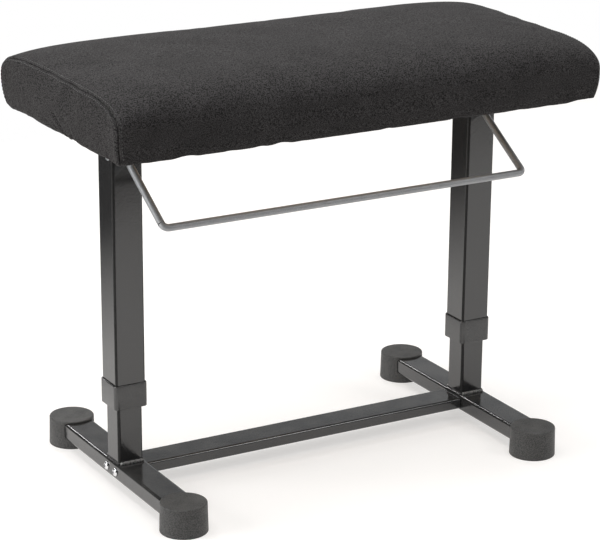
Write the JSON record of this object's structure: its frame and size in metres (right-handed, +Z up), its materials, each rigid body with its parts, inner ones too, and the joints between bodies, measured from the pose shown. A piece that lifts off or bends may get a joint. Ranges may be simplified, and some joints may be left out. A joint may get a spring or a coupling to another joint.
{
  "type": "keyboard bench",
  "caption": "Height-adjustable padded bench on telescoping square columns, with foot rails, a cross beam, round feet and a bent-rod release bar under the seat.",
  "frame": {"origin": "on the floor under the middle of the seat", "axes": "+X along the seat's length, +Y from the release bar at the front towards the back, +Z up"},
  "size_m": [0.598, 0.3388, 0.4843],
  "materials": {
    "powder_coat": "glossy black powder coat",
    "rod_coat": "satin dark grey",
    "bright_steel": "bright plated",
    "zinc_steel": "zinc plated",
    "foot_plastic": "fine matte moulding",
    "dark_plastic": "satin moulding",
    "plywood": "raw birch plywood",
    "fabric": "thick woolly weave"
  },
  "bodies": {
    "base": {"foot_rail_left": "powder_coat", "foot_rail_right": "powder_coat", "cross_beam": "powder_coat", "beam_insert_left": "zinc_steel", "beam_insert_right": "zinc_steel", "beam_bolt_front_left": "bright_steel", "beam_bolt_rear_left": "bright_steel", "beam_bolt_front_right": "bright_steel", "beam_bolt_rear_right": "bright_steel", "foot_front_left": "foot_plastic", "foot_rear_left": "foot_plastic", "foot_front_right": "foot_plastic", "foot_rear_right": "foot_plastic", "foot_screw_front_left": "zinc_steel", "foot_screw_rear_left": "zinc_steel", "foot_screw_front_right": "zinc_steel", "foot_screw_rear_right": "zinc_steel", "lower_post_left": "powder_coat", "lower_post_right": "powder_coat", "guide_plug_left": "dark_plastic", "guide_plug_right": "dark_plastic", "cylinder_spacer_left": "dark_plastic", "cylinder_spacer_right": "dark_plastic", "cylinder_bolt_left": "zinc_steel", "cylinder_bolt_right": "zinc_steel", "gas_cylinder_left": "powder_coat", "gas_cylinder_right": "powder_coat"},
    "lift": {"upper_post_left": "powder_coat", "upper_post_right": "powder_coat", "collar_left": "dark_plastic", "collar_right": "dark_plastic", "gas_rod_left": "bright_steel", "gas_rod_right": "bright_steel", "rod_plate_left": "powder_coat", "rod_plate_right": "powder_coat", "rod_nut_left": "zinc_steel", "rod_nut_right": "zinc_steel", "lever_pin_left": "zinc_steel", "lever_pin_right": "zinc_steel", "lever_clip_left": "zinc_steel", "lever_clip_right": "zinc_steel", "seat_bracket_left": "powder_coat", "seat_bracket_right": "powder_coat", "bracket_screw_left_1": "zinc_steel", "bracket_screw_left_2": "zinc_steel", "bracket_screw_left_3": "zinc_steel", "bracket_screw_left_4": "zinc_steel", "bracket_screw_right_1": "zinc_steel", "bracket_screw_right_2": "zinc_steel", "bracket_screw_right_3": "zinc_steel", "bracket_screw_right_4": "zinc_steel", "seat_board": "plywood", "seat_cushion": "fabric"},
    "release_bar": {"release_bar": "rod_coat"},
    "valve_left": {"valve_pin_left": "bright_steel"},
    "valve_right": {"valve_pin_right": "bright_steel"}
  },
  "joints": [
    {"name": "height_lift", "type": "slide", "parent": "base", "child": "lift", "axis": [0, 0, 1], "range_m": [0, 0.13]},
    {"name": "release_pull", "type": "hinge", "parent": "lift", "child": "release_bar", "pos_m": [0, -0.01, 0.3834], "axis": [-1, 0, 0], "range_deg": [0, 10], "stiffness_Nm_per_rad": 3},
    {"name": "valve_press_left", "type": "slide", "parent": "lift", "child": "valve_left", "axis": [0, 0, -1], "range_m": [0, 0.0022]},
    {"name": "valve_press_right", "type": "slide", "parent": "lift", "child": "valve_right", "axis": [0, 0, -1], "range_m": [0, 0.0022]}
  ],
  "couplings": [
    {"joint": "valve_press_left", "follows": "release_pull", "m_per_rad": 0.01203},
    {"joint": "valve_press_right", "follows": "release_pull", "m_per_rad": 0.01203}
  ]
}
